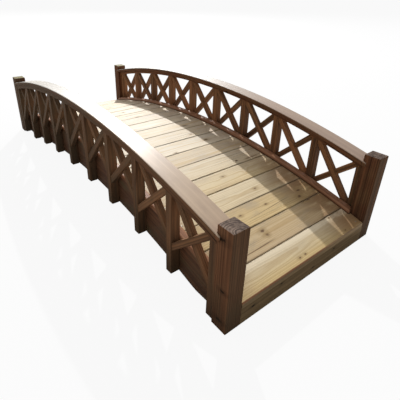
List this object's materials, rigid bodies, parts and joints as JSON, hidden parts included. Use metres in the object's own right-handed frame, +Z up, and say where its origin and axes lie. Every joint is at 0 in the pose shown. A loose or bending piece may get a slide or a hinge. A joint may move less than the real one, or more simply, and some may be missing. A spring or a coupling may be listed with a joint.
{
  "type": "arched timber garden bridge",
  "caption": "Low arched timber footbridge with a curved board deck between kerbed side beams, corner newel posts and crossed-batten railings under curved handrails.",
  "frame": {"origin": "on the ground, midway between the two ends and between the two railings", "axes": "+X along the walkway towards the front end, +Y across it towards the right railing, +Z up"},
  "size_m": [2.906, 1.146, 0.6437],
  "materials": {
    "stained_timber": "dark brown stain, satin",
    "handrail_timber": "brown stain, semi-gloss",
    "frame_timber": "bare treated softwood",
    "deck_timber": "bare planed softwood"
  },
  "bodies": {
    "root": {"front_left_newel": "stained_timber", "front_right_newel": "stained_timber", "back_left_newel": "stained_timber", "back_right_newel": "stained_timber", "left_side_beam": "stained_timber", "right_side_beam": "stained_timber", "left_balusters": "stained_timber", "right_balusters": "stained_timber", "left_inner_battens": "stained_timber", "left_outer_battens": "stained_timber", "right_inner_battens": "stained_timber", "right_outer_battens": "stained_timber", "left_under_rail": "stained_timber", "right_under_rail": "stained_timber", "front_end_plank": "stained_timber", "back_end_plank": "stained_timber", "left_handrail": "handrail_timber", "right_handrail": "handrail_timber", "left_ledger": "frame_timber", "right_ledger": "frame_timber", "centre_joist": "frame_timber", "deck_board_01": "deck_timber", "deck_board_02": "deck_timber", "deck_board_03": "deck_timber", "deck_board_04": "deck_timber", "deck_board_05": "deck_timber", "deck_board_06": "deck_timber", "deck_board_07": "deck_timber", "deck_board_08": "deck_timber", "deck_board_09": "deck_timber", "deck_board_10": "deck_timber", "deck_board_11": "deck_timber", "deck_board_12": "deck_timber", "deck_board_13": "deck_timber", "deck_board_14": "deck_timber", "deck_board_15": "deck_timber", "deck_board_16": "deck_timber", "deck_board_17": "deck_timber", "deck_board_18": "deck_timber", "deck_board_19": "deck_timber", "deck_board_20": "deck_timber"}
  },
  "joints": []
}
